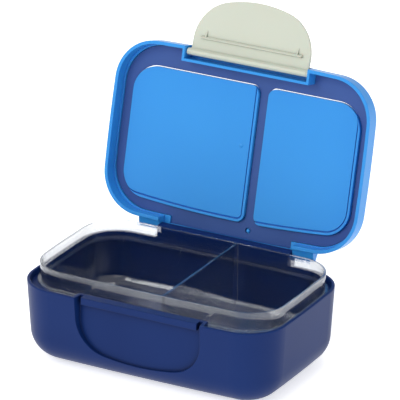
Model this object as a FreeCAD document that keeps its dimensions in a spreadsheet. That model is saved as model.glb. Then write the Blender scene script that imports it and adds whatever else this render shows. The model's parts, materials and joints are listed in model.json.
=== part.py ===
"""Bento lunch box: tub, clear inner tray, hinged lid with a seal, and a snap clip.

Frame: +Z up, X along the box, the clip side faces -Y, the lid's hinge is at +Y.
The origin is the middle of the footprint, on the surface that the feet stand on.
The lid and the clip are built closed, then swung open by their Placement.
"""
import FreeCAD
import Part
import Sketcher
import math
import os

Vector = FreeCAD.Vector
X_AXIS = Vector(1, 0, 0)

doc = FreeCAD.newDocument("BentoBox")

# ---------------------------------------------------------------- driving dimensions, mm and degrees
SIZES = [
    # tub
    ("half_length", 100.0), ("half_depth", 63.2), ("corner", 30.0),
    ("crown_long", 2.0), ("crown_short", 1.5),
    ("rim_z", 58.4), ("under_z", 1.2), ("wall", 2.2), ("draft", 3.6),
    ("bottom_round", 21.0), ("rim_round", 0.7),
    # clip recess in the front wall
    ("recess_half", 48.1), ("recess_bottom", 16.0), ("recess_corner", 25.0), ("recess_belly", 150.0),
    ("recess_draft", 6.0),
    ("panel_y", 55.4), ("panel_tilt", 4.0), ("strip_z", 53.4), ("strip_y", 60.0), ("strip_half", 45.2),
    # lid hinge
    ("hinge_y", 67.3), ("hinge_z", 64.4), ("knuckle", 2.6), ("pin_radius", 1.25), ("pin_play", 0.05),
    ("block_half", 52.6), ("block_round", 1.5),
    ("block_edge", 2.4), ("block_root", 9.0), ("block_chin", 13.0), ("block_sink", 0.8), ("block_skirt", 2.0),
    ("pin_sunk", 9.0), ("arm_in", 53.0), ("arm_out", 69.5), ("arm_end", 3.0), ("arm_root", 3.2),
    ("arm_low", 0.6), ("arm_high", 10.5), ("heel_low", 0.6), ("heel_high", 1.4),
    # feet
    ("foot_x", 70.0), ("foot_y", 38.0), ("foot_radius", 4.5), ("foot_seat", 0.8),
    ("foot_bevel", 1.0), ("foot_play", 0.2), ("foot_step", 0.7),
    # tray
    ("tray_half_length", 95.0), ("tray_half_depth", 54.5), ("tray_y", 2.7), ("tray_corner", 27.0),
    ("tray_top", 69.0), ("tray_wall", 1.7), ("tray_draft", 2.6), ("tray_round", 11.5),
    ("tray_bottom", 19.4), ("ledge_thick", 2.0), ("ledge_gap", 0.25),
    ("flange_z", 54.2), ("flange_out", 0.9), ("flange_thick", 1.5),
    ("divider_x", 14.0), ("divider_top", 2.0), ("divider_foot", 4.4), ("edge_round", 0.55),
    # lid, closed
    ("lid_half_length", 101.0), ("lid_half_depth", 63.8), ("lid_corner", 31.0),
    ("lid_rim_z", 58.8), ("lid_depth", 14.5), ("lid_wall", 2.4), ("lid_draft", 2.0), ("lid_round", 4.0),
    ("ledge_z", 67.6), ("ledge_in", 1.2), ("skin", 2.0),
    ("window_half_length", 90.0), ("window_front", 43.6), ("bow_radius", 820.0), ("bow_x", 3.0),
    ("bow_y", 766.2),
    ("strip_x", 12.8), ("strip_width", 7.2), ("window_corner", 19.0), ("window_inner_corner", 6.0),
    ("bead_width", 1.7), ("bead_z", 67.0), ("panel_z", 67.9), ("moat_z", 68.8), ("moat_width", 1.0),
    ("notch_half", 48.3), ("notch_y", 54.2), ("notch_top", 69.4), ("notch_wall", 1.8),
    ("rear_notch_y", 59.4), ("tongue_half", 53.5), ("tongue_root", 40.0), ("tongue_out", 3.1),
    ("seat_half", 48.1), ("lip_wall", 1.5), ("lip_z", 67.9),
    ("gate_x", 0.0), ("gate_y", 0.0), ("gate_radius", 2.4), ("gate_proud", 0.7),
    ("open_angle", 104.0),
    # seal
    ("seal_z", 69.3), ("seal_thick", 1.9), ("seal_gap", 0.2), ("bead_gap", 0.6),
    ("peg_y", 58.9), ("peg_radius", 1.2), ("peg_gap", 1.0), ("peg_sunk", 0.3),
    # clip, closed
    ("clip_y", 59.4), ("clip_z", 63.2), ("barrel", 2.4), ("barrel_half", 47.7), ("clip_half", 46.0),
    ("clip_length", 41.8), ("clip_corner", 30.0), ("clip_belly", 88.0),
    ("clip_out", 3.6), ("clip_thick", 2.6), ("clip_edge", 0.9),
    ("web_low", 2.6), ("web_high", 0.4), ("root_in", 2.5), ("root_long", 4.3), ("root_slope", 3.2),
    ("root_rise", 0.9),
    ("rib_drop", 10.4), ("rib_thick", 1.7), ("rib_out", 2.5), ("rib_half", 40.0),
    ("rib_sink", 0.5), ("rib_lip", 0.6), ("rib_chamfer", 0.9),
    ("gusset_long", 6.5), ("gusset_in", 3.5), ("gusset_thick", 0.9),
    ("clip_open", 97.0), ("clip_pin_half", 50.0),
    # how far cutting shapes run past what they cut: just past, well past, clear of the whole box
    ("margin", 1.0), ("reach", 20.0), ("beyond", 80.0),
]

sheet = doc.addObject("Spreadsheet::Sheet", "Dims")
for row, (name, size) in enumerate(SIZES, start=1):
    sheet.set("A%d" % row, name)
    sheet.set("B%d" % row, str(size))
    sheet.setAlias("B%d" % row, name)
doc.recompute()


def dim(name):
    """A driving dimension, read from the sheet."""
    return float(getattr(sheet, name))


def bound(expression):
    """Each name of a dimension in the expression, written as a cell of the sheet."""
    words = expression.replace("(", " ( ").replace(")", " ) ").split()
    known = {name for name, _ in SIZES}
    return " ".join("Dims." + word if word in known else word for word in words)


def number(expression):
    """The present value of an expression of driving dimensions."""
    result = sheet.evalExpression(bound(expression))
    return float(getattr(result, "Value", result))


# ---------------------------------------------------------------- sketches
PLANES = {"XY": "XY_Plane", "XZ": "XZ_Plane", "YZ": "YZ_Plane"}


def new_body(name):
    return doc.addObject("PartDesign::Body", name)


def new_sketch(body, name, plane, offset=(0, 0, 0), tilt=0.0):
    """A sketch on one of the body's own origin planes, moved by offset and tilted about its own x."""
    sketch = body.newObject("Sketcher::SketchObject", name)
    role = PLANES[plane]
    support = [f for f in body.Origin.OriginFeatures if f.Role == role][0]
    sketch.AttachmentSupport = [(support, "")]
    sketch.MapMode = "FlatFace"
    sketch.AttachmentOffset = FreeCAD.Placement(Vector(*offset), FreeCAD.Rotation(X_AXIS, tilt))
    return sketch


def lift(sketch, axis, expression):
    """Bind one coordinate of a sketch's offset to the sheet."""
    sketch.setExpression("AttachmentOffset.Base." + axis, bound(expression))


def measure(sketch, kind, places, expression):
    """A dimension constraint whose value is an expression of the sheet."""
    index = sketch.addConstraint(Sketcher.Constraint(kind, *places, number(expression)))
    sketch.setExpression("Constraints[%d]" % index, bound(expression))


def arc(centre, radius, start, end):
    circle = Part.Circle(Vector(centre[0], centre[1], 0), Vector(0, 0, 1), radius)
    return Part.ArcOfCircle(circle, start, end)


def angle_of(centre, point):
    return math.atan2(point[1] - centre[1], point[0] - centre[0])


ORIGIN = -1
ORIGIN_POINT = 1
V_AXIS = -2
START, END, CENTRE = 1, 2, 3


def crowned_outline(sketch, half_length, half_depth, corner, inset="0"):
    """A rounded rectangle with gently crowned sides: four long-radius arcs and four corner arcs."""
    long_radius = "( %s * %s + crown_long * crown_long ) / ( 2 * crown_long ) - %s" % (
        half_length, half_length, inset)
    short_radius = "( %s * %s + crown_short * crown_short ) / ( 2 * crown_short ) - %s" % (
        half_depth, half_depth, inset)
    long_shift = "%s + %s - %s" % (long_radius, inset, half_depth)
    short_shift = "%s + %s - %s" % (short_radius, inset, half_length)
    corner_radius = "%s - %s" % (corner, inset)
    big, small, turn = number(long_radius), number(short_radius), number(corner_radius)
    down, left = number(long_shift), number(short_shift)
    # centre of the corner arc in the first quadrant: tangent inside both side circles
    top, right = (0.0, -down), (-left, 0.0)
    span = math.hypot(left, down)
    r_top, r_right = big - turn, small - turn
    along = (r_top ** 2 - r_right ** 2 + span ** 2) / (2 * span)
    off = math.sqrt(r_top ** 2 - along ** 2)
    unit = ((right[0] - top[0]) / span, (right[1] - top[1]) / span)
    cx = top[0] + along * unit[0] - off * unit[1]
    cy = top[1] + along * unit[1] + off * unit[0]
    if cx < 0 or cy < 0:
        cx = top[0] + along * unit[0] + off * unit[1]
        cy = top[1] + along * unit[1] - off * unit[0]
    toward_top = angle_of(top, (cx, cy))
    toward_right = angle_of(right, (cx, cy))
    half = math.pi
    arcs = [
        arc(right, small, -toward_right, toward_right),
        arc((cx, cy), turn, toward_right, toward_top),
        arc(top, big, toward_top, half - toward_top),
        arc((-cx, cy), turn, half - toward_top, half - toward_right),
        arc((left, 0), small, half - toward_right, half + toward_right),
        arc((-cx, -cy), turn, half + toward_right, half + toward_top),
        arc((0, down), big, half + toward_top, 2 * half - toward_top),
        arc((cx, -cy), turn, -toward_top, -toward_right),
    ]
    ids = [sketch.addGeometry(a, False) for a in arcs]
    for k, one in enumerate(ids):
        sketch.addConstraint(Sketcher.Constraint("Tangent", one, END, ids[(k + 1) % 8], START))
    for k in (0, 4):
        sketch.addConstraint(Sketcher.Constraint("PointOnObject", ids[k], CENTRE, -1))
    for k in (2, 6):
        sketch.addConstraint(Sketcher.Constraint("PointOnObject", ids[k], CENTRE, -2))
    measure(sketch, "Radius", (ids[0],), short_radius)
    measure(sketch, "Radius", (ids[2],), long_radius)
    measure(sketch, "Radius", (ids[1],), corner_radius)
    for one, other in ((4, 0), (6, 2), (3, 1), (5, 1), (7, 1)):
        sketch.addConstraint(Sketcher.Constraint("Equal", ids[one], ids[other]))
    measure(sketch, "DistanceX", (ids[0], CENTRE, ORIGIN, ORIGIN_POINT), short_shift)
    measure(sketch, "DistanceX", (ORIGIN, ORIGIN_POINT, ids[4], CENTRE), short_shift)
    measure(sketch, "DistanceY", (ids[2], CENTRE, ORIGIN, ORIGIN_POINT), long_shift)
    measure(sketch, "DistanceY", (ORIGIN, ORIGIN_POINT, ids[6], CENTRE), long_shift)


def d_outline(sketch, half, top, bottom, corner, belly):
    """A D lying on its back: straight top and sides, round corners and a bellied bottom edge."""
    a, y1, y0 = number(half), number(top), number(bottom)
    r, big = number(corner), number(belly)
    cy = y0 + big - math.sqrt((big - r) ** 2 - (a - r) ** 2)
    tilt = math.atan2(a - r, y0 + big - cy)
    low = -math.pi / 2
    ids = [
        sketch.addGeometry(Part.LineSegment(Vector(a, y1, 0), Vector(-a, y1, 0)), False),
        sketch.addGeometry(Part.LineSegment(Vector(-a, y1, 0), Vector(-a, cy, 0)), False),
        sketch.addGeometry(arc((r - a, cy), r, math.pi, 2 * math.pi + low - tilt), False),
        sketch.addGeometry(arc((0, y0 + big), big, low - tilt, low + tilt), False),
        sketch.addGeometry(arc((a - r, cy), r, low + tilt, 0), False),
        sketch.addGeometry(Part.LineSegment(Vector(a, cy, 0), Vector(a, y1, 0)), False),
    ]
    for one, other in ((5, 0), (0, 1)):
        sketch.addConstraint(Sketcher.Constraint("Coincident", ids[one], END, ids[other], START))
    for k in range(1, 5):
        sketch.addConstraint(Sketcher.Constraint("Tangent", ids[k], END, ids[k + 1], START))
    sketch.addConstraint(Sketcher.Constraint("Horizontal", ids[0]))
    sketch.addConstraint(Sketcher.Constraint("Vertical", ids[1]))
    sketch.addConstraint(Sketcher.Constraint("Vertical", ids[5]))
    sketch.addConstraint(Sketcher.Constraint("PointOnObject", ids[3], CENTRE, V_AXIS))
    sketch.addConstraint(Sketcher.Constraint("Equal", ids[2], ids[4]))
    measure(sketch, "Radius", (ids[2],), corner)
    measure(sketch, "Radius", (ids[3],), belly)
    measure(sketch, "DistanceX", (ids[1], START, ORIGIN, ORIGIN_POINT), half)
    measure(sketch, "DistanceX", (ORIGIN, ORIGIN_POINT, ids[5], END), half)
    measure(sketch, "DistanceY", (ORIGIN, ORIGIN_POINT, ids[0], START), top)
    measure(sketch, "DistanceY", (ORIGIN, ORIGIN_POINT, ids[3], CENTRE), "%s + %s" % (bottom, belly))


def bowed_window(sketch, left, right, low, grow, radii):
    """A window with three straight sides and a bowed rear side, each corner with its own radius.

    The radii go anticlockwise from the lower left. The bow's circle is the same for both windows.
    """
    bow = "bow_radius + %s" % grow
    x0, x1, y0, big = number(left), number(right), number(low), number(bow)
    r = [number(one) for one in radii]
    middle = (-number("bow_x"), -number("bow_y"))
    rear_y = [middle[1] + math.sqrt((big - turn) ** 2 - (x - middle[0]) ** 2)
              for turn, x in ((r[2], x1 - r[2]), (r[3], x0 + r[3]))]
    corners = [(x0 + r[0], y0 + r[0]), (x1 - r[1], y0 + r[1]), (x1 - r[2], rear_y[0]), (x0 + r[3], rear_y[1])]
    right_end, left_end = angle_of(middle, corners[2]), angle_of(middle, corners[3])
    quarter = math.pi / 2
    shapes = [
        arc(corners[0], r[0], 2 * quarter, 3 * quarter),
        Part.LineSegment(Vector(x0 + r[0], y0, 0), Vector(x1 - r[1], y0, 0)),
        arc(corners[1], r[1], 3 * quarter, 4 * quarter),
        Part.LineSegment(Vector(x1, y0 + r[1], 0), Vector(x1, rear_y[0], 0)),
        arc(corners[2], r[2], 0, right_end),
        arc(middle, big, right_end, left_end),
        arc(corners[3], r[3], left_end, 2 * quarter),
        Part.LineSegment(Vector(x0, rear_y[1], 0), Vector(x0, y0 + r[0], 0)),
    ]
    ids = [sketch.addGeometry(one, False) for one in shapes]
    for k in range(8):
        sketch.addConstraint(Sketcher.Constraint("Tangent", ids[k], END, ids[(k + 1) % 8], START))
    for k, kind in ((1, "Horizontal"), (3, "Vertical"), (7, "Vertical")):
        sketch.addConstraint(Sketcher.Constraint(kind, ids[k]))
    for k, radius in ((0, radii[0]), (2, radii[1]), (4, radii[2]), (6, radii[3]), (5, bow)):
        measure(sketch, "Radius", (ids[k],), radius)
    measure(sketch, "DistanceX", (ids[5], CENTRE, ORIGIN, ORIGIN_POINT), "bow_x")
    measure(sketch, "DistanceY", (ids[5], CENTRE, ORIGIN, ORIGIN_POINT), "bow_y")
    measure(sketch, "DistanceX", (ORIGIN, ORIGIN_POINT, ids[7], START), left)
    measure(sketch, "DistanceX", (ORIGIN, ORIGIN_POINT, ids[3], START), right)
    measure(sketch, "DistanceY", (ORIGIN, ORIGIN_POINT, ids[1], START), low)


def polygon(sketch, corners):
    """A closed outline of straight edges; each corner is a pair of expressions."""
    points = [Vector(number(u), number(v), 0) for u, v in corners]
    ids = []
    for k, point in enumerate(points):
        segment = Part.LineSegment(point, points[(k + 1) % len(points)])
        ids.append(sketch.addGeometry(segment, False))
    for k, one in enumerate(ids):
        sketch.addConstraint(Sketcher.Constraint("Coincident", one, END, ids[(k + 1) % len(ids)], START))
    for k, (u, v) in enumerate(corners):
        measure(sketch, "DistanceX", (ORIGIN, ORIGIN_POINT, ids[k], START), u)
        measure(sketch, "DistanceY", (ORIGIN, ORIGIN_POINT, ids[k], START), v)


# ---------------------------------------------------------------- features
def pad(body, sketch, length, reverse=False, both=False, taper=None):
    feature = body.newObject("PartDesign::Pad", body.Name + "_pad%d" % len(body.Group))
    feature.Profile = sketch
    feature.setExpression("Length", bound(length))
    feature.Reversed = reverse
    feature.Midplane = both
    if taper:
        feature.setExpression("TaperAngle", bound(taper))
    doc.recompute()
    return feature


TOUCH = 0.01   # mm, how close counts as on a plane


def edges_at(shape, test):
    """Names of the edges whose ends and middle all pass the test."""
    names = []
    for index, edge in enumerate(shape.Edges, start=1):
        middle = edge.valueAt((edge.FirstParameter + edge.LastParameter) / 2)
        points = [v.Point for v in edge.Vertexes] + [middle]
        if all(test(p) for p in points):
            names.append("Edge%d" % index)
    return names


def round_edges(body, test, radius):
    base = body.Tip
    feature = body.newObject("PartDesign::Fillet", body.Name + "_fillet%d" % len(body.Group))
    feature.Base = (base, edges_at(base.Shape, test))
    feature.setExpression("Radius", bound(radius))
    doc.recompute()
    return feature


def level(z):
    return lambda p: abs(p.z - z) < TOUCH


def cut(name, base, tool):
    result = doc.addObject("Part::Cut", name)
    result.Base = base
    result.Tool = tool
    return result


def common(name, base, tool):
    result = doc.addObject("Part::Common", name)
    result.Base = base
    result.Tool = tool
    return result


def soften(name, base, test, radius):
    """Round the edges of a combined solid that pass the test."""
    doc.recompute()
    size = number(radius)
    result = doc.addObject("Part::Fillet", name)
    result.Base = base
    result.Edges = [(int(edge[4:]), size, size) for edge in edges_at(base.Shape, test)]
    return result


def fuse(name, shapes):
    result = doc.addObject("Part::MultiFuse", name)
    result.Shapes = shapes
    result.Refine = True
    return result


def block(name, low, high):
    """A Part::Box between two corners given as expressions."""
    box = doc.addObject("Part::Box", name)
    for side, axis, a, b in zip(("Length", "Width", "Height"), "xyz", low, high):
        box.setExpression(side, bound("( %s ) - ( %s )" % (b, a)))
        box.setExpression("Placement.Base." + axis, bound(a))
    return box


def rod(name, radius, x0, x1, y, z):
    """A Part::Cylinder along X."""
    cylinder = doc.addObject("Part::Cylinder", name)
    cylinder.Placement.Rotation = FreeCAD.Rotation(Vector(0, 1, 0), 90)
    cylinder.setExpression("Radius", bound(radius))
    cylinder.setExpression("Height", bound("( %s ) - ( %s )" % (x1, x0)))
    for axis, expression in zip("xyz", (x0, y, z)):
        cylinder.setExpression("Placement.Base." + axis, bound(expression))
    return cylinder


def tub_form(name, half_length, half_depth, corner, inset, top, bottom, draft, bottom_round, shift="0"):
    """A drafted tub shape with a rounded bottom edge, as one closed solid."""
    body = new_body(name)
    outline = new_sketch(body, name + "_outline", "XY")
    lift(outline, "y", shift)
    lift(outline, "z", top)
    crowned_outline(outline, half_length, half_depth, corner, inset)
    pad(body, outline, "%s - ( %s )" % (top, bottom), reverse=True, taper="0 - " + draft)
    round_edges(body, level(number(bottom)), bottom_round)
    return body


# ---------------------------------------------------------------- tub
def recess_prism(name, grow, back):
    """The clip recess's D, drawn on the tilted plane of its panel and run forward, opening a little."""
    body = new_body(name)
    sketch = new_sketch(body, name + "_d", "XZ", tilt=-dim("panel_tilt"))
    lift(sketch, "y", "strip_z")
    lift(sketch, "z", "panel_y - %s" % back)
    d_outline(sketch, "recess_half + %s" % grow, "rim_z + margin - strip_z",
              "recess_bottom - strip_z - %s" % grow, "recess_corner + %s" % grow,
              "recess_belly + %s" % grow)
    pad(body, sketch, "reach", taper="recess_draft")
    return body


def make_base():
    outer = tub_form("tub_outer", "half_length", "half_depth", "corner", "0",
                     "rim_z", "under_z", "draft", "bottom_round")
    inner = tub_form("tub_inner", "half_length", "half_depth", "corner", "wall",
                     "rim_z", "under_z + wall", "draft", "bottom_round - wall")
    round_edges(outer, level(dim("rim_z")), "rim_round")
    housing = recess_prism("recess_housing", "wall", "wall")
    cavity = cut("tub_cavity", inner, housing)
    shell = cut("tub_shell", outer, cavity)
    # a ledge round the inside, on which the tray's flange rests
    ledge = new_body("tub_ledge")
    plan = new_sketch(ledge, "tub_ledge_plan", "XY")
    lift(plan, "z", "flange_z - ledge_thick")
    crowned_outline(plan, "half_length", "half_depth", "corner", "wall / 2")
    pad(ledge, plan, "ledge_thick")
    hole = new_body("tub_ledge_hole")
    outline = new_sketch(hole, "tub_ledge_outline", "XY")
    lift(outline, "y", "tray_y")
    lift(outline, "z", "flange_z - ledge_thick - margin")
    crowned_outline(outline, "tray_half_length", "tray_half_depth", "tray_corner", "0 - ledge_gap")
    pad(hole, outline, "ledge_thick + 2 * margin")
    ring = cut("tub_ledge_ring", common("tub_ledge_inside", ledge, outer), hole)
    # raised block on the rear rim that the lid's arms straddle
    rear = new_body("hinge_block")
    profile = new_sketch(rear, "hinge_block_profile", "YZ")
    polygon(profile, [
        ("half_depth - wall", "rim_z - block_root"), ("half_depth - block_sink", "rim_z - block_chin"),
        ("hinge_y + knuckle", "rim_z - block_skirt"), ("hinge_y + knuckle", "hinge_z + knuckle"),
        ("half_depth - wall", "hinge_z + knuckle"),
    ])
    pad(rear, profile, "2 * block_half", both=True)
    top = number("hinge_z + knuckle")
    front = dim("half_depth") - dim("wall")
    back = number("hinge_y + knuckle")
    round_edges(rear, lambda p: abs(p.z - top) < TOUCH and abs(p.y - front) < TOUCH, "block_round")
    round_edges(rear, lambda p: abs(p.z - top) < TOUCH and abs(p.y - back) < TOUCH, "block_edge")
    whole = fuse("tub_and_block", [shell, ring, rear])
    # the catch strip stands back from the tub's face and stops short of the recess's sides
    recess = recess_prism("recess_form", "0", "0")
    strip = block("catch_strip", ("0 - strip_half", "0 - strip_y", "strip_z"),
                  ("strip_half", "0", "rim_z + reach"))
    opened = cut("tub_recessed", whole, cut("recess_room", recess, strip))
    holes = [rod("block_bore_right", "pin_radius", "block_half - pin_sunk", "block_half + margin",
                 "hinge_y", "hinge_z"),
             rod("block_bore_left", "pin_radius", "0 - block_half - margin", "pin_sunk - block_half",
                 "hinge_y", "hinge_z")]
    seats = []
    for k, (sx, sy) in enumerate(((-1, -1), (1, -1), (1, 1), (-1, 1))):
        seat = doc.addObject("Part::Cylinder", "foot_seat%d" % k)
        seat.setExpression("Radius", bound("foot_radius"))
        seat.setExpression("Height", bound("foot_seat + margin"))
        seat.setExpression("Placement.Base.x", bound("%d * foot_x" % sx))
        seat.setExpression("Placement.Base.y", bound("%d * foot_y" % sy))
        seat.setExpression("Placement.Base.z", bound("under_z - margin"))
        seats.append(seat)
    return cut("base_box", opened, fuse("tub_bores", holes + seats))


# ---------------------------------------------------------------- tray
def make_tray():
    tray = ("tray_half_length", "tray_half_depth", "tray_corner")
    outer = tub_form("tray_outer", *tray, "0", "tray_top", "tray_bottom",
                     "tray_draft", "tray_round", "tray_y")
    inner = tub_form("tray_inner", *tray, "tray_wall", "tray_top", "tray_bottom + tray_wall",
                     "tray_draft", "tray_round - tray_wall", "tray_y")
    rim = new_body("tray_flange")
    outline = new_sketch(rim, "tray_flange_outline", "XY")
    lift(outline, "y", "tray_y")
    lift(outline, "z", "flange_z")
    crowned_outline(outline, *tray, "0 - flange_out")
    pad(rim, outline, "flange_thick")
    wall = new_body("tray_divider")
    profile = new_sketch(wall, "divider_profile", "XZ")
    lift(profile, "z", "0 - tray_y")
    polygon(profile, [
        ("divider_x - divider_foot / 2", "tray_bottom"), ("divider_x + divider_foot / 2", "tray_bottom"),
        ("divider_x + divider_top / 2", "tray_top"), ("divider_x - divider_top / 2", "tray_top"),
    ])
    pad(wall, profile, "2 * tray_half_depth + reach", both=True)
    round_edges(wall, level(dim("tray_top")), "edge_round")
    middle = tub_form("tray_middle", *tray, "tray_wall / 2", "tray_top", "tray_bottom + tray_wall / 2",
                      "tray_draft", "tray_round - tray_wall / 2", "tray_y")
    shell = cut("tray_shell", fuse("tray_and_flange", [outer, rim]), inner)
    polished = soften("tray_polished", shell, level(dim("tray_top")), "edge_round")
    return fuse("tray", [polished, common("divider_inside", wall, middle)])


# ---------------------------------------------------------------- lid
LID = ("lid_half_length", "lid_half_depth", "lid_corner")


def lid_form(name, inset, low, high, taper=None):
    body = new_body(name)
    outline = new_sketch(body, name + "_outline", "XY")
    lift(outline, "z", low)
    crowned_outline(outline, *LID, inset)
    pad(body, outline, "( %s ) - ( %s )" % (high, low), taper=taper)
    return body


def window_form(name, grow, low, high, right_hand):
    """One of the two window shapes, each with its small corners beside the cross strip."""
    body = new_body(name)
    outline = new_sketch(body, name + "_outline", "XY")
    lift(outline, "z", low)
    big = "window_corner + %s" % grow
    small = "window_inner_corner + %s" % grow
    front = "0 - window_front - %s" % grow
    if right_hand:
        bowed_window(outline, "strip_x + strip_width / 2 - %s" % grow, "window_half_length + %s" % grow,
                     front, grow, (small, big, big, small))
    else:
        bowed_window(outline, "0 - window_half_length - %s" % grow, "strip_x - strip_width / 2 + %s" % grow,
                     front, grow, (big, small, small, big))
    pad(body, outline, "( %s ) - ( %s )" % (high, low))
    return body


def make_lid():
    top_z = "lid_rim_z + lid_depth"
    outer = lid_form("lid_outer", "0", "lid_rim_z", top_z, taper="0 - lid_draft")
    round_edges(outer, level(number(top_z)), "lid_round")
    mouth = lid_form("lid_mouth", "lid_wall", "lid_rim_z", "ledge_z", taper="0 - lid_draft")
    seat = lid_form("lid_seat", "lid_wall + ledge_in", "ledge_z", "seal_z + seal_thick")
    hollow = fuse("lid_hollow", [mouth, seat])
    # between the hinge arms the roof runs further back, over the hinge block, with a thin lip round the seal
    tongue = lid_form("lid_tongue_form", "0 - tongue_out", "lip_z", top_z)
    round_edges(tongue, level(number(top_z)), "lid_round")
    tongue_room = block("tongue_room", ("0 - tongue_half", "tongue_root", "lip_z"),
                        ("tongue_half", "beyond", top_z + " + margin"))
    tongue_seat = lid_form("tongue_seat_form", "lip_wall - tongue_out", "lip_z - margin",
                           "seal_z + seal_thick")
    seat_room = block("seat_room", ("0 - seat_half", "tongue_root", "lip_z - margin"),
                      ("seat_half", "beyond", "seal_z + seal_thick"))
    front_wall = block("clip_notch_wall", ("0 - notch_half - notch_wall", "0 - beyond", "lid_rim_z - margin"),
                       ("notch_half + notch_wall", "notch_wall - notch_y", "lid_rim_z + reach"))
    cavity = cut("lid_cavity", hollow, front_wall)
    beads = fuse("lid_beads", [
        window_form("bead_left", "0", "bead_z", "seal_z + seal_thick", False),
        window_form("bead_right", "0", "bead_z", "seal_z + seal_thick", True)])
    peg = doc.addObject("Part::Cylinder", "seal_peg")
    peg.setExpression("Radius", bound("peg_radius"))
    peg.setExpression("Height", bound("seal_thick - peg_sunk + margin"))
    peg.setExpression("Placement.Base.x", bound("strip_x"))
    peg.setExpression("Placement.Base.y", bound("peg_y"))
    peg.setExpression("Placement.Base.z", bound("seal_z + peg_sunk"))
    outline = fuse("lid_outline", [outer, common("lid_tongue", tongue, tongue_room)])
    inside = fuse("lid_inside", [cavity, common("tongue_seat", tongue_seat, seat_room)])
    shell = cut("lid_open_shell", outline, inside)
    gate = doc.addObject("Part::Sphere", "gate_mark")
    gate.setExpression("Radius", bound("gate_radius"))
    gate.setExpression("Placement.Base.x", bound("gate_x"))
    gate.setExpression("Placement.Base.y", bound("gate_y"))
    gate.setExpression("Placement.Base.z", bound("panel_z + gate_radius - gate_proud"))
    framed = fuse("lid_with_beads", [shell, beads, peg])
    above = top_z + " + margin"
    panes = []
    for side, right_hand in (("left", False), ("right", True)):
        well = window_form("well_" + side, "0 - bead_width", "bead_z - margin", "moat_z", right_hand)
        panel = window_form("panel_" + side, "0 - bead_width - moat_width", "panel_z", "moat_z + margin",
                            right_hand)
        panes.append(cut("pane_" + side, well, panel))
        panes.append(window_form("outside_" + side, "0 - bead_width", "moat_z + skin", above, right_hand))
    notch = block("clip_notch", ("0 - notch_half", "0 - beyond", "lid_rim_z - margin"),
                  ("notch_half", "0 - notch_y", "notch_top"))
    rear = block("hinge_notch", ("0 - arm_in", "rear_notch_y", "lid_rim_z - margin"),
                 ("arm_in", "beyond", "lip_z"))
    pin_bore = rod("clip_pin_bore", "pin_radius", "0 - clip_pin_half", "clip_pin_half", "0 - clip_y",
                   "clip_z")
    notched = cut("lid_notched", framed, fuse("lid_tools", panes + [notch, rear, pin_bore]))
    body = fuse("lid_marked", [notched, common("gate_inside", gate, outer)])
    arms = []
    for side, x in (("right", "arm_in"), ("left", "0 - arm_out")):
        arm = new_body("arm_" + side)
        profile = new_sketch(arm, "arm_profile_" + side, "YZ")
        lift(profile, "z", x)
        polygon(profile, [
            ("lid_half_depth - arm_root", "lid_rim_z + arm_low"), ("hinge_y", "hinge_z - knuckle"),
            ("hinge_y + knuckle", "hinge_z - heel_low"), ("hinge_y + knuckle", "hinge_z + heel_high"),
            ("lid_half_depth - arm_root", "lid_rim_z + arm_high"),
        ])
        pad(arm, profile, "arm_out - arm_in")
        arms.append(arm)
    bores = [rod("arm_bore_right", "pin_radius + pin_play", "arm_in - margin", "arm_out - arm_end",
                 "hinge_y", "hinge_z"),
             rod("arm_bore_left", "pin_radius + pin_play", "arm_end - arm_out", "margin - arm_in",
                 "hinge_y", "hinge_z")]
    # the tray's collar stands inside the closed lid, so the arms' roots stay out of the cavity
    roots = cut("arm_roots", fuse("arms", arms), mouth)
    return cut("lid_shell", fuse("lid_with_arms", [body, roots]), fuse("arm_bores", bores))


def make_seal():
    face = lid_form("seal_sheet", "lid_wall + ledge_in + seal_gap", "seal_z",
                    "seal_z + seal_thick - seal_gap")
    below, above = "seal_z - margin", "seal_z + seal_thick + margin"
    tools = [
        window_form("seal_hole_left", "bead_gap", below, above, False),
        window_form("seal_hole_right", "bead_gap", below, above, True),
        block("seal_front_notch", ("0 - notch_half - notch_wall - seal_gap", "0 - beyond", below),
              ("notch_half + notch_wall + seal_gap", "notch_wall + seal_gap - notch_y", above)),
    ]
    tongue = lid_form("seal_tongue_form", "lip_wall - tongue_out + seal_gap", "seal_z",
                      "seal_z + seal_thick - seal_gap")
    room = block("seal_tongue_room", ("seal_gap - seat_half", "tongue_root", below),
                 ("seat_half - seal_gap", "beyond", above))
    flat = fuse("seal_flat", [face, common("seal_tongue", tongue, room)])
    hole = doc.addObject("Part::Cylinder", "seal_peg_hole")
    hole.setExpression("Radius", bound("peg_radius + peg_gap"))
    hole.setExpression("Height", bound("reach"))
    hole.setExpression("Placement.Base.x", bound("strip_x"))
    hole.setExpression("Placement.Base.y", bound("peg_y"))
    hole.setExpression("Placement.Base.z", bound(below))
    return cut("lid_seal", flat, fuse("seal_tools", tools + [hole]))


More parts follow.
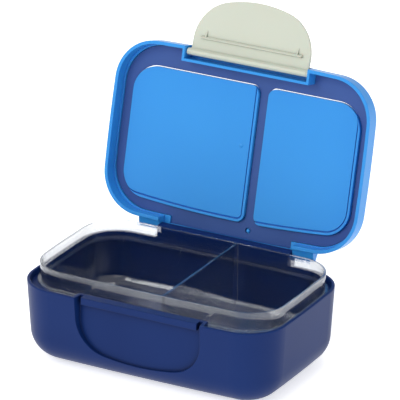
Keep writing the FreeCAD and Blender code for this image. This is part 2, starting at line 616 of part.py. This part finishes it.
# ---------------------------------------------------------------- clip
def make_clip():
    flap = new_body("clip_flap")
    sketch = new_sketch(flap, "clip_outline", "XZ")
    lift(sketch, "y", "clip_z")
    lift(sketch, "z", "clip_y + clip_out - clip_thick")
    d_outline(sketch, "clip_half", "0", "0 - clip_length", "clip_corner", "clip_belly")
    pad(flap, sketch, "clip_thick")
    outside = -(dim("clip_y") + dim("clip_out"))
    round_edges(flap, lambda p: abs(p.y - outside) < TOUCH, "clip_edge")
    barrel = rod("clip_barrel", "barrel", "0 - barrel_half", "barrel_half", "0 - clip_y", "clip_z")
    web = block("clip_web", ("0 - clip_half", "0 - clip_y - clip_out", "clip_z - web_low"),
                ("clip_half", "0 - clip_y", "clip_z + web_high"))
    root = new_body("clip_root")
    shape = new_sketch(root, "clip_root_profile", "YZ")
    polygon(shape, [
        ("0 - clip_y - clip_out + rib_sink", "clip_z"),
        ("0 - clip_y - clip_out + rib_sink", "clip_z - root_long"),
        ("root_in - clip_y", "clip_z - root_long + root_slope"), ("root_in - clip_y", "clip_z + root_rise"),
        ("0 - clip_y", "clip_z + root_rise"),
    ])
    pad(root, shape, "2 * clip_half", both=True)
    inside = "0 - clip_y - clip_out + clip_thick"
    rib = new_body("clip_rib")
    profile = new_sketch(rib, "clip_rib_profile", "YZ")
    polygon(profile, [
        (inside + " - rib_sink", "clip_z - rib_drop"), (inside + " + rib_out", "clip_z - rib_drop"),
        (inside + " + rib_out", "clip_z - rib_drop - rib_lip"),
        (inside + " + rib_chamfer", "clip_z - rib_drop - rib_thick"),
        (inside + " - rib_sink", "clip_z - rib_drop - rib_thick"),
    ])
    pad(rib, profile, "2 * rib_half", both=True)
    gussets = []
    for side, x in (("left", "gusset_in - rib_half"), ("right", "rib_half - gusset_in - gusset_thick")):
        gusset = new_body("clip_gusset_" + side)
        shape = new_sketch(gusset, "clip_gusset_profile_" + side, "YZ")
        lift(shape, "z", x)
        polygon(shape, [
            (inside + " - rib_sink", "clip_z - rib_drop - margin"),
            (inside + " + rib_out - rib_lip", "clip_z - rib_drop - margin"),
            (inside + " - rib_sink", "clip_z - rib_drop - margin - gusset_long"),
        ])
        pad(gusset, shape, "gusset_thick")
        gussets.append(gusset)
    bore = rod("clip_bore", "pin_radius + pin_play", "0 - beyond", "beyond", "0 - clip_y", "clip_z")
    return cut("clip", fuse("clip_solid", [flap, barrel, web, root, rib] + gussets), bore)


# ---------------------------------------------------------------- pins and feet
def make_pins():
    names = ["clip_pin"]
    for side, x0, x1 in (("right", "block_half - pin_sunk", "arm_out - arm_end - margin"),
                         ("left", "margin + arm_end - arm_out", "pin_sunk - block_half")):
        rod("hinge_pin_" + side, "pin_radius", x0, x1, "hinge_y", "hinge_z")
        names.append("hinge_pin_" + side)
    rod("clip_pin", "pin_radius", "0 - clip_pin_half", "clip_pin_half", "0 - clip_y", "clip_z")
    return names


def make_feet():
    names = []
    places = (("front_left", -1, -1), ("front_right", 1, -1), ("rear_right", 1, 1), ("rear_left", -1, 1))
    for place, sx, sy in places:
        foot = new_body("foot_" + place)
        profile = new_sketch(foot, "foot_profile_" + place, "XZ")
        polygon(profile, [("0", "0"), ("foot_radius - foot_bevel", "0"),
                          ("foot_radius - foot_play", "foot_step"),
                          ("foot_radius - foot_play", "under_z + foot_seat"), ("0", "under_z + foot_seat")])
        turn = foot.newObject("PartDesign::Revolution", "foot_turn_" + place)
        turn.Profile = profile
        turn.ReferenceAxis = (profile, ["V_Axis"])
        turn.Angle = 360
        foot.setExpression("Placement.Base.x", bound("%d * foot_x" % sx))
        foot.setExpression("Placement.Base.y", bound("%d * foot_y" % sy))
        names.append("foot_" + place)
    return names


def swing(obj, axis_y, axis_z, angle):
    """Turn an object, freed from the sheet, about an axis parallel to X."""
    for axis in "xyz":
        obj.setExpression("Placement.Base." + axis, None)
    turn = FreeCAD.Placement(Vector(), FreeCAD.Rotation(X_AXIS, angle), Vector(0, axis_y, axis_z))
    obj.Placement = turn.multiply(obj.Placement)


make_base()
make_tray()
make_lid()
make_seal()
make_clip()
PARTS = ["base_box", "tray", "lid_shell", "lid_seal", "clip"] + make_pins() + make_feet()
doc.recompute()

# swing the clip open in its notch, then the lid with all it carries about the rear hinge
for name in ("lid_shell", "lid_seal", "clip", "clip_pin"):
    obj = doc.getObject(name)
    if name == "clip":
        swing(obj, -dim("clip_y"), dim("clip_z"), -dim("clip_open"))
    swing(obj, dim("hinge_y"), dim("hinge_z"), -dim("open_angle"))
doc.recompute()

problems = [obj.Name for obj in doc.Objects if "Invalid" in obj.State or "Error" in obj.State]
for name in PARTS:
    obj = doc.getObject(name)
    obj.Label = name
    if obj.Shape.isNull() or not obj.Shape.isValid() or len(obj.Shape.Solids) != 1:
        problems.append(name)
if problems:
    raise RuntimeError("failed: " + ", ".join(problems))

os.makedirs("parts", exist_ok=True)
for name in PARTS:
    shape = doc.getObject(name).Shape
    shape.exportStep("parts/%s.step" % name)
    box = shape.BoundBox
    print("%-18s %8.1f mm3  x %.1f..%.1f  y %.1f..%.1f  z %.1f..%.1f" % (
        name, shape.Volume, box.XMin, box.XMax, box.YMin, box.YMax, box.ZMin, box.ZMax))
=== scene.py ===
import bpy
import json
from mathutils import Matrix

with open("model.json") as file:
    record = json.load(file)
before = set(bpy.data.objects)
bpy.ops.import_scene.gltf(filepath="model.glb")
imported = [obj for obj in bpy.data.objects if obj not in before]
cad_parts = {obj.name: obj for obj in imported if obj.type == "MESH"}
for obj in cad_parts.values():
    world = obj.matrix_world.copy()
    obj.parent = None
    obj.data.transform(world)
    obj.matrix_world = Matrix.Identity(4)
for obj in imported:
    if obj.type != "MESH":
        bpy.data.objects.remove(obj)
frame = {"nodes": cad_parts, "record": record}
"""Bento lunch box: finishes, floor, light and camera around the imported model.

Metres, the same frame as the CAD model: +Z up, X along the box, the clip recess faces -Y.
"""
import bpy
import json
import math
from mathutils import Matrix, Vector

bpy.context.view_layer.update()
NODES = frame["nodes"]

# sharp edges are shaded as if rounded by these radii
SHELL_EDGE, LID_EDGE, SEAL_EDGE = 0.0009, 0.0005, 0.0003
CLIP_EDGE, TRAY_EDGE, FOOT_EDGE = 0.0004, 0.0006, 0.0004

# the photo's camera: angles in degrees, the lens in millimetres on a 36 mm sensor
AZIMUTH, ELEVATION, ROLL = 28.82, 23.52, 0.18
DISTANCE, LENS, SENSOR, VIEW_DEPTH = 3.2715, 424.98, 36.0, 50.0
CENTRE = Vector((0.0, 0.0, 0.040))
AIM_RIGHT, AIM_UP = 0.01340, 0.07270

FLOOR_REACH, FLOOR_GLOW, WORLD_GLOW = 6.0, 0.6, 0.75


# ---------------------------------------------------------------- materials
def srgb(red, green, blue):
    """A linear colour from 0-255 display values."""
    def linear(value):
        value = value / 255.0
        return value / 12.92 if value <= 0.04045 else ((value + 0.055) / 1.055) ** 2.4
    return (linear(red), linear(green), linear(blue), 1.0)


class Finish:
    """A node material around one Principled shader."""

    def __init__(self, name, colour, roughness, **sockets):
        self.material = bpy.data.materials.new(name)
        self.material.use_nodes = True
        self.tree = self.material.node_tree
        self.shader = self.tree.nodes["Principled BSDF"]
        self.shader.inputs["Base Color"].default_value = colour
        self.shader.inputs["Roughness"].default_value = roughness
        for key, value in sockets.items():
            self.shader.inputs[key.replace("_", " ")].default_value = value
        self.where = self.tree.nodes.new("ShaderNodeTexCoord")

    def node(self, kind, **settings):
        node = self.tree.nodes.new(kind)
        for key, value in settings.items():
            setattr(node, key, value)
        return node

    def link(self, source, target):
        self.tree.links.new(source, target)

    def noise(self, scale, detail=3.0, roughness=0.5, stretch=(1, 1, 1)):
        place = self.node("ShaderNodeMapping")
        place.inputs["Scale"].default_value = stretch
        self.link(self.where.outputs["Object"], place.inputs["Vector"])
        texture = self.node("ShaderNodeTexNoise")
        texture.inputs["Scale"].default_value = scale
        texture.inputs["Detail"].default_value = detail
        texture.inputs["Roughness"].default_value = roughness
        self.link(place.outputs["Vector"], texture.inputs["Vector"])
        return texture.outputs["Fac"]

    def span(self, value, low, high, out_low, out_high):
        fit = self.node("ShaderNodeMapRange")
        for key, number in (("From Min", low), ("From Max", high), ("To Min", out_low), ("To Max", out_high)):
            fit.inputs[key].default_value = number
        self.link(value, fit.inputs["Value"])
        return fit.outputs["Result"]

    def mix(self, factor, one, other):
        """Colour `one` where factor is 0, `other` where it is 1."""
        blend = self.node("ShaderNodeMix", data_type="RGBA")
        for socket, colour in ((blend.inputs[6], one), (blend.inputs[7], other)):
            if isinstance(colour, tuple):
                socket.default_value = colour
            else:
                self.link(colour, socket)
        self.link(factor, blend.inputs[0])
        return blend.outputs[2]

    def soft_edges(self, radius):
        """Shading as if every edge had this radius, as moulded edges do."""
        bevel = self.node("ShaderNodeBevel", samples=6)
        bevel.inputs["Radius"].default_value = radius
        return bevel.outputs["Normal"]

    def edge_mask(self, radius):
        """0 on open faces, rising towards 0.3 at sharp edges."""
        own = self.node("ShaderNodeNewGeometry")
        along = self.node("ShaderNodeVectorMath", operation="DOT_PRODUCT")
        self.link(self.soft_edges(radius), along.inputs[0])
        self.link(own.outputs["Normal"], along.inputs[1])
        turned = self.node("ShaderNodeMath", operation="SUBTRACT")
        turned.inputs[0].default_value = 1.0
        self.link(along.outputs["Value"], turned.inputs[1])
        return turned.outputs["Value"]

    def blend(self, factor, one, other):
        """Shader `one` where factor is 0, `other` where it is 1."""
        mixed = self.node("ShaderNodeMixShader")
        if isinstance(factor, float):
            mixed.inputs["Fac"].default_value = factor
        else:
            self.link(factor, mixed.inputs["Fac"])
        self.link(one, mixed.inputs[1])
        self.link(other, mixed.inputs[2])
        return mixed.outputs["Shader"]

    def paint_crease_shade(self, colour, painted_shade_colour, reach):
        """Painted shade: darker in tight inner corners, where little light gets in."""
        near = self.node("ShaderNodeAmbientOcclusion", samples=8, only_local=True)
        near.inputs["Distance"].default_value = reach
        shade = self.mix(self.span(near.outputs["AO"], 0.25, 0.8, 1.0, 0.0), colour, painted_shade_colour)
        self.link(shade, self.shader.inputs["Base Color"])

    def bump(self, height, strength, depth, chain=None):
        bump = self.node("ShaderNodeBump")
        bump.inputs["Strength"].default_value = strength
        bump.inputs["Distance"].default_value = depth
        self.link(height, bump.inputs["Height"])
        if chain is not None:
            self.link(chain, bump.inputs["Normal"])
        self.link(bump.outputs["Normal"], self.shader.inputs["Normal"])
        return bump.outputs["Normal"]

    def grain(self, scale, depth, low, high, edge):
        """A fine moulded texture: bump over soft edges, with roughness drifting from low to high."""
        fine = self.noise(scale, 4.0, 0.6)
        broad = self.noise(scale / 60.0, 3.0, 0.5)
        self.link(self.span(broad, 0.0, 1.0, low, high), self.shader.inputs["Roughness"])
        wave = self.bump(broad, 0.2, depth, self.soft_edges(edge))
        self.bump(fine, 1.0, depth, wave)

    def tint(self, scale, one, other):
        """Slow drift between two near colours."""
        colour = self.mix(self.span(self.noise(scale, 1.0), 0.2, 0.8, 0.0, 1.0), one, other)
        self.link(colour, self.shader.inputs["Base Color"])
        return colour


def navy_finish():
    look = Finish("navy_shell", srgb(16, 42, 104), 0.38, Specular_IOR_Level=0.12)
    tint = look.tint(18.0, srgb(11, 37, 90), srgb(15, 42, 97))
    # painted shade: inner corners darken towards a deeper navy
    look.paint_crease_shade(tint, painted_shade_colour=srgb(3, 14, 46), reach=0.006)
    look.grain(scale=1500.0, depth=0.00002, low=0.34, high=0.42, edge=SHELL_EDGE)
    return look.material


def blue_finish():
    look = Finish("blue_lid", srgb(66, 150, 232), 0.3, Specular_IOR_Level=0.28, Subsurface_Weight=0.12,
                  Subsurface_Scale=0.003)
    look.shader.inputs["Subsurface Radius"].default_value = (0.2, 0.5, 1.0)
    tint = look.tint(14.0, srgb(47, 142, 219), srgb(53, 148, 224))
    # painted shade: inner corners darken towards a deeper blue
    look.paint_crease_shade(tint, painted_shade_colour=srgb(16, 84, 190), reach=0.002)
    look.grain(scale=1300.0, depth=0.000015, low=0.26, high=0.34, edge=LID_EDGE)
    return look.material


def seal_finish():
    look = Finish("seal", srgb(48, 80, 142), 0.5, Specular_IOR_Level=0.35, Sheen_Weight=0.1)
    tint = look.tint(25.0, srgb(42, 75, 138), srgb(50, 84, 151))
    # painted shade: inner corners darken towards a deeper grey-blue
    look.paint_crease_shade(tint, painted_shade_colour=srgb(24, 48, 104), reach=0.002)
    look.grain(scale=2200.0, depth=0.00001, low=0.45, high=0.6, edge=SEAL_EDGE)
    return look.material


def clip_finish():
    look = Finish("clip", srgb(216, 220, 206), 0.42, Subsurface_Weight=0.1, Subsurface_Scale=0.003)
    tint = look.tint(20.0, srgb(189, 194, 179), srgb(194, 199, 185))
    # painted shade: inner corners darken towards a greyer cream
    look.paint_crease_shade(tint, painted_shade_colour=srgb(132, 138, 122), reach=0.0015)
    look.grain(scale=1600.0, depth=0.00002, low=0.4, high=0.5, edge=CLIP_EDGE)
    return look.material


def tray_finish():
    look = Finish("clear_tray", srgb(252, 253, 254), 0.03, IOR=1.49, Transmission_Weight=1.0)
    fine = look.noise(60.0, detail=2.0)
    look.link(look.span(fine, 0.3, 0.7, 0.015, 0.05), look.shader.inputs["Roughness"])
    ripple = look.bump(look.noise(22.0, detail=2.0), strength=0.25, depth=0.00015)
    # most light goes straight through, as through thin plastic, and darker where the wall is seen edge-on
    facing = look.node("ShaderNodeLayerWeight")
    facing.inputs["Blend"].default_value = 0.3
    straight = look.node("ShaderNodeBsdfTransparent")
    look.link(look.mix(look.span(facing.outputs["Facing"], 0.55, 1.0, 0.0, 1.0), srgb(250, 251, 252),
                       srgb(110, 117, 128)), straight.inputs["Color"])
    straight_share = 0.5
    body = look.blend(straight_share, look.shader.outputs["BSDF"], straight.outputs["BSDF"])
    # gloss of the moulded skin
    gloss = look.node("ShaderNodeBsdfGlossy")
    gloss.inputs["Roughness"].default_value = 0.08
    gloss.inputs["Color"].default_value = srgb(222, 226, 232)
    look.link(ripple, gloss.inputs["Normal"])
    skin = look.node("ShaderNodeFresnel")
    skin.inputs["IOR"].default_value = 1.6
    look.link(ripple, skin.inputs["Normal"])
    side = look.node("ShaderNodeNewGeometry")
    outside_only = look.node("ShaderNodeMath", operation="SUBTRACT", use_clamp=True)
    look.link(skin.outputs["Fac"], outside_only.inputs[0])
    look.link(side.outputs["Backfacing"], outside_only.inputs[1])
    coated = look.blend(outside_only.outputs["Value"], body, gloss.outputs["BSDF"])
    # painted highlight: a pale line on the edges, wherever the softened normal leaves the face's own
    painted_edge_highlight = look.node("ShaderNodeBsdfPrincipled")
    painted_edge_highlight.inputs["Base Color"].default_value = srgb(150, 157, 168)
    painted_edge_highlight.inputs["Roughness"].default_value = 0.25
    edge = look.span(look.edge_mask(TRAY_EDGE), 0.05, 0.14, 0.0, 0.7)
    mixed = look.blend(edge, coated, painted_edge_highlight.outputs["BSDF"])
    look.link(mixed, look.tree.nodes["Material Output"].inputs["Surface"])
    return look.material


def steel_finish():
    look = Finish("pin_steel", srgb(150, 150, 153), 0.35, Metallic=1.0)
    drawn = look.noise(900.0, detail=4.0, roughness=0.6, stretch=(0.03, 1.0, 1.0))
    look.link(look.span(drawn, 0.3, 0.7, 0.25, 0.45), look.shader.inputs["Roughness"])
    look.bump(drawn, strength=0.4, depth=0.00001)
    return look.material


def rubber_finish():
    look = Finish("foot_rubber", srgb(22, 34, 66), 0.7)
    look.tint(60.0, srgb(20, 31, 62), srgb(25, 37, 70))
    look.grain(scale=1800.0, depth=0.00002, low=0.62, high=0.78, edge=FOOT_EDGE)
    return look.material


FINISHES = {
    "navy_shell": navy_finish(), "blue_lid": blue_finish(), "seal": seal_finish(), "clip": clip_finish(),
    "clear_tray": tray_finish(), "pin_steel": steel_finish(), "foot_rubber": rubber_finish(),
}
for part in frame["record"]["subparts"]:
    mesh = NODES[part["node"]].data
    mesh.materials.clear()
    mesh.materials.append(FINISHES[part["material_slot"]])


# ---------------------------------------------------------------- floor, light, camera
def stage_floor():
    mesh = bpy.data.meshes.new("floor")
    corners = [(x * FLOOR_REACH, y * FLOOR_REACH, 0) for x, y in ((-1, -1), (1, -1), (1, 1), (-1, 1))]
    mesh.from_pydata(corners, [], [(0, 1, 2, 3)])
    floor = bpy.data.objects.new("floor", mesh)
    bpy.context.scene.collection.objects.link(floor)
    look = Finish("floor", (0.9, 0.9, 0.9, 1.0), 0.9, Specular_IOR_Level=0.1,
                  Emission_Color=(1.0, 1.0, 1.0, 1.0), Emission_Strength=FLOOR_GLOW)
    look.tint(3.0, (0.9, 0.9, 0.9, 1.0), (0.92, 0.92, 0.92, 1.0))
    mesh.materials.append(look.material)


def softbox(name, place, aim, width, height, power):
    lamp = bpy.data.lights.new(name, "AREA")
    lamp.shape = "RECTANGLE"
    lamp.size, lamp.size_y = width, height
    lamp.energy = power
    obj = bpy.data.objects.new(name, lamp)
    obj.location = place
    obj.rotation_euler = (Vector(aim) - Vector(place)).to_track_quat("-Z", "Y").to_euler()
    bpy.context.scene.collection.objects.link(obj)


def make_camera():
    azimuth, elevation, roll = math.radians(AZIMUTH), math.radians(ELEVATION), math.radians(ROLL)
    back = Vector((math.sin(azimuth) * math.cos(elevation), -math.cos(azimuth) * math.cos(elevation),
                   math.sin(elevation)))
    right = Vector((math.cos(azimuth), math.sin(azimuth), 0.0))
    up = back.cross(right)
    right, up = (math.cos(roll) * right + math.sin(roll) * up, math.cos(roll) * up - math.sin(roll) * right)
    eye = CENTRE + DISTANCE * back
    aim = CENTRE + AIM_RIGHT * right + AIM_UP * up
    look_back = (eye - aim).normalized()
    side = up.cross(look_back).normalized()
    head = look_back.cross(side)
    data = bpy.data.cameras.new("camera")
    data.sensor_width = SENSOR
    data.lens = LENS
    data.clip_end = VIEW_DEPTH
    camera = bpy.data.objects.new("camera", data)
    camera.matrix_world = Matrix((
        (side.x, head.x, look_back.x, eye.x), (side.y, head.y, look_back.y, eye.y),
        (side.z, head.z, look_back.z, eye.z), (0, 0, 0, 1)))
    bpy.context.scene.collection.objects.link(camera)
    bpy.context.scene.camera = camera


stage_floor()
softbox("key", place=(-0.75, -1.55, 1.4), aim=(0, 0, 0.08), width=0.9, height=1.0, power=13.5)
softbox("fill", place=(0.9, -1.9, 0.9), aim=(0, 0, 0.1), width=1.0, height=1.0, power=2.0)
softbox("top", place=(0.3, 0.2, 1.9), aim=(0, 0, 0.05), width=0.9, height=0.6, power=4.0)
world = bpy.data.worlds.new("studio")
bpy.context.scene.world = world
world.use_nodes = True
world.node_tree.nodes["Background"].inputs["Color"].default_value = (1, 1, 1, 1)
world.node_tree.nodes["Background"].inputs["Strength"].default_value = WORLD_GLOW
bpy.context.scene.view_settings.view_transform = "Standard"
make_camera()
